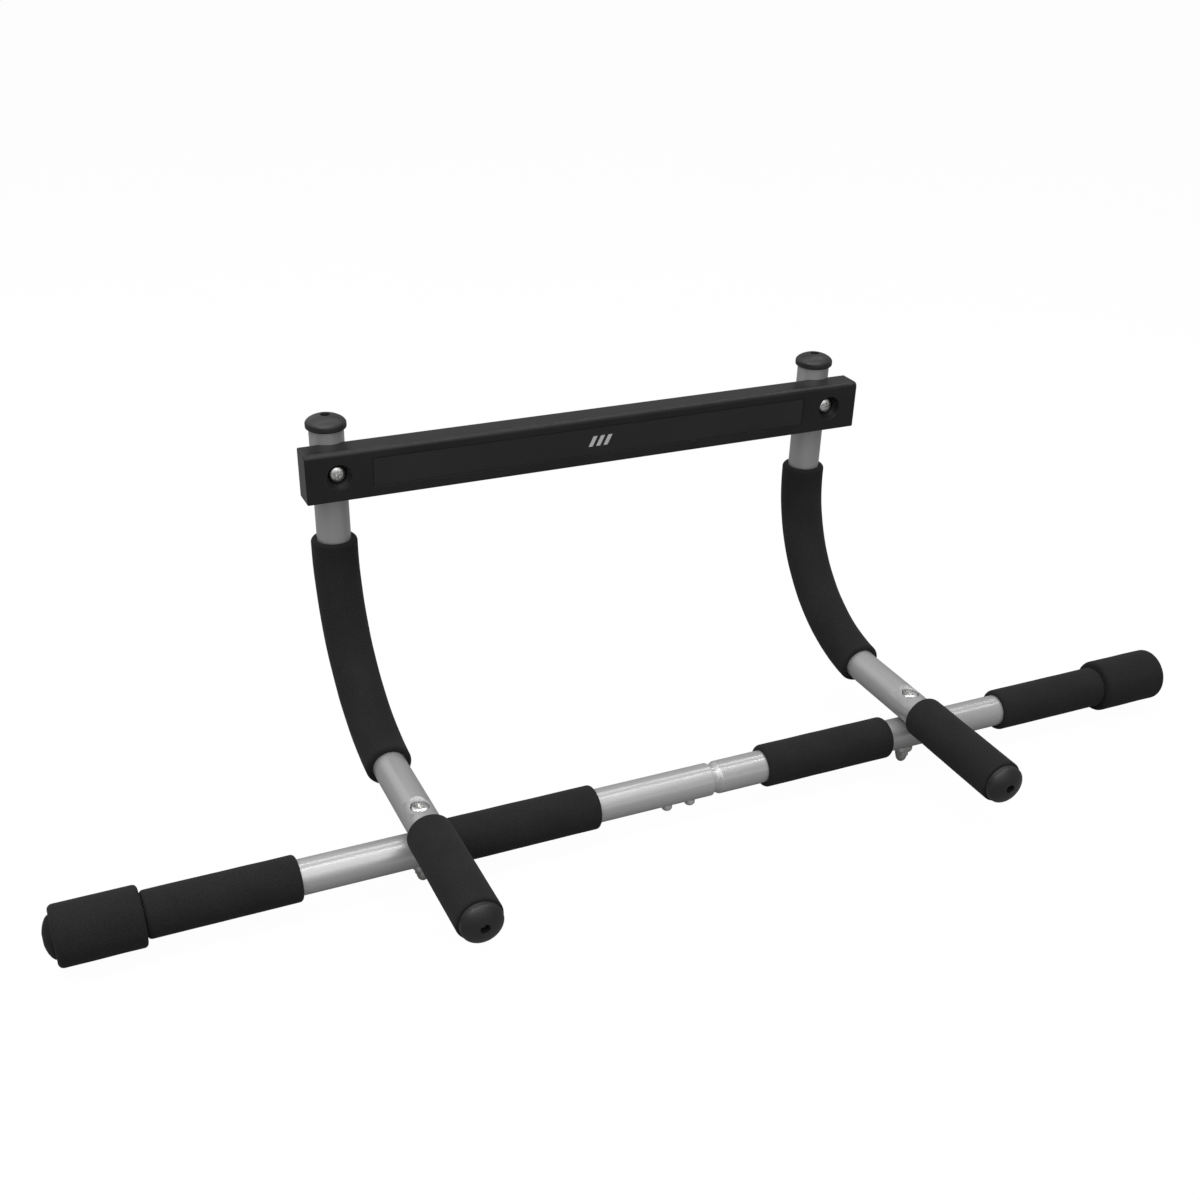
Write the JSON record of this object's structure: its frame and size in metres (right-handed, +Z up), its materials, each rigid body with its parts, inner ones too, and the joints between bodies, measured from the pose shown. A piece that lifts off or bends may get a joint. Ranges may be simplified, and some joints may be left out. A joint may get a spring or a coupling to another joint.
{
  "type": "pull up bar",
  "caption": "Doorway pull-up bar: padded long bar, bent side tubes with padded handles, and a crossbar that rests on the door trim.",
  "frame": {"origin": "middle of the crossbar's underside, where it rests on the door trim", "axes": "+Z up in use, +X along the long bar to the user's right, +Y from the user's side of the wall to the far side"},
  "size_m": [0.9188, 0.3382, 0.2839],
  "materials": {
    "bar_steel": "satin silver grey paint with soft highlights",
    "post_steel": "satin silver grey paint",
    "foam": "matte closed-cell foam with a fine grain",
    "cap_plastic": "satin black moulded plastic",
    "crossbar_plastic": "satin black moulded plastic",
    "label": "matte black printed film with a plain mark of three slanted bars",
    "zinc": "bright zinc plate"
  },
  "bodies": {
    "root": {"long_bar_left_tube": "bar_steel", "long_bar_right_tube": "bar_steel", "side_tube_left": "post_steel", "side_tube_right": "post_steel", "end_pad_left": "foam", "end_pad_right": "foam", "outer_sleeve_left": "foam", "outer_sleeve_right": "foam", "inner_grip_left": "foam", "inner_grip_right": "foam", "bend_pad_left": "foam", "bend_pad_right": "foam", "handle_grip_left": "foam", "handle_grip_right": "foam", "long_bar_cap_left": "cap_plastic", "long_bar_cap_right": "cap_plastic", "post_cap_left": "cap_plastic", "post_cap_right": "cap_plastic", "handle_cap_left": "cap_plastic", "handle_cap_right": "cap_plastic", "crossbar_cover": "crossbar_plastic", "crossbar_label_plate": "label", "crossbar_steel_bar": "post_steel", "crossbar_bolt_left": "zinc", "crossbar_bolt_right": "zinc", "crossbar_washer_left": "zinc", "crossbar_washer_right": "zinc", "crossbar_lock_nut_left": "zinc", "crossbar_lock_nut_right": "zinc", "side_bolt_left": "zinc", "side_bolt_right": "zinc", "saddle_washer_left": "zinc", "saddle_washer_right": "zinc", "acorn_nut_left": "zinc", "acorn_nut_right": "zinc", "joint_screw_inner": "zinc", "joint_weld_nut_inner": "zinc", "joint_screw_outer": "zinc", "joint_weld_nut_outer": "zinc"}
  },
  "joints": []
}
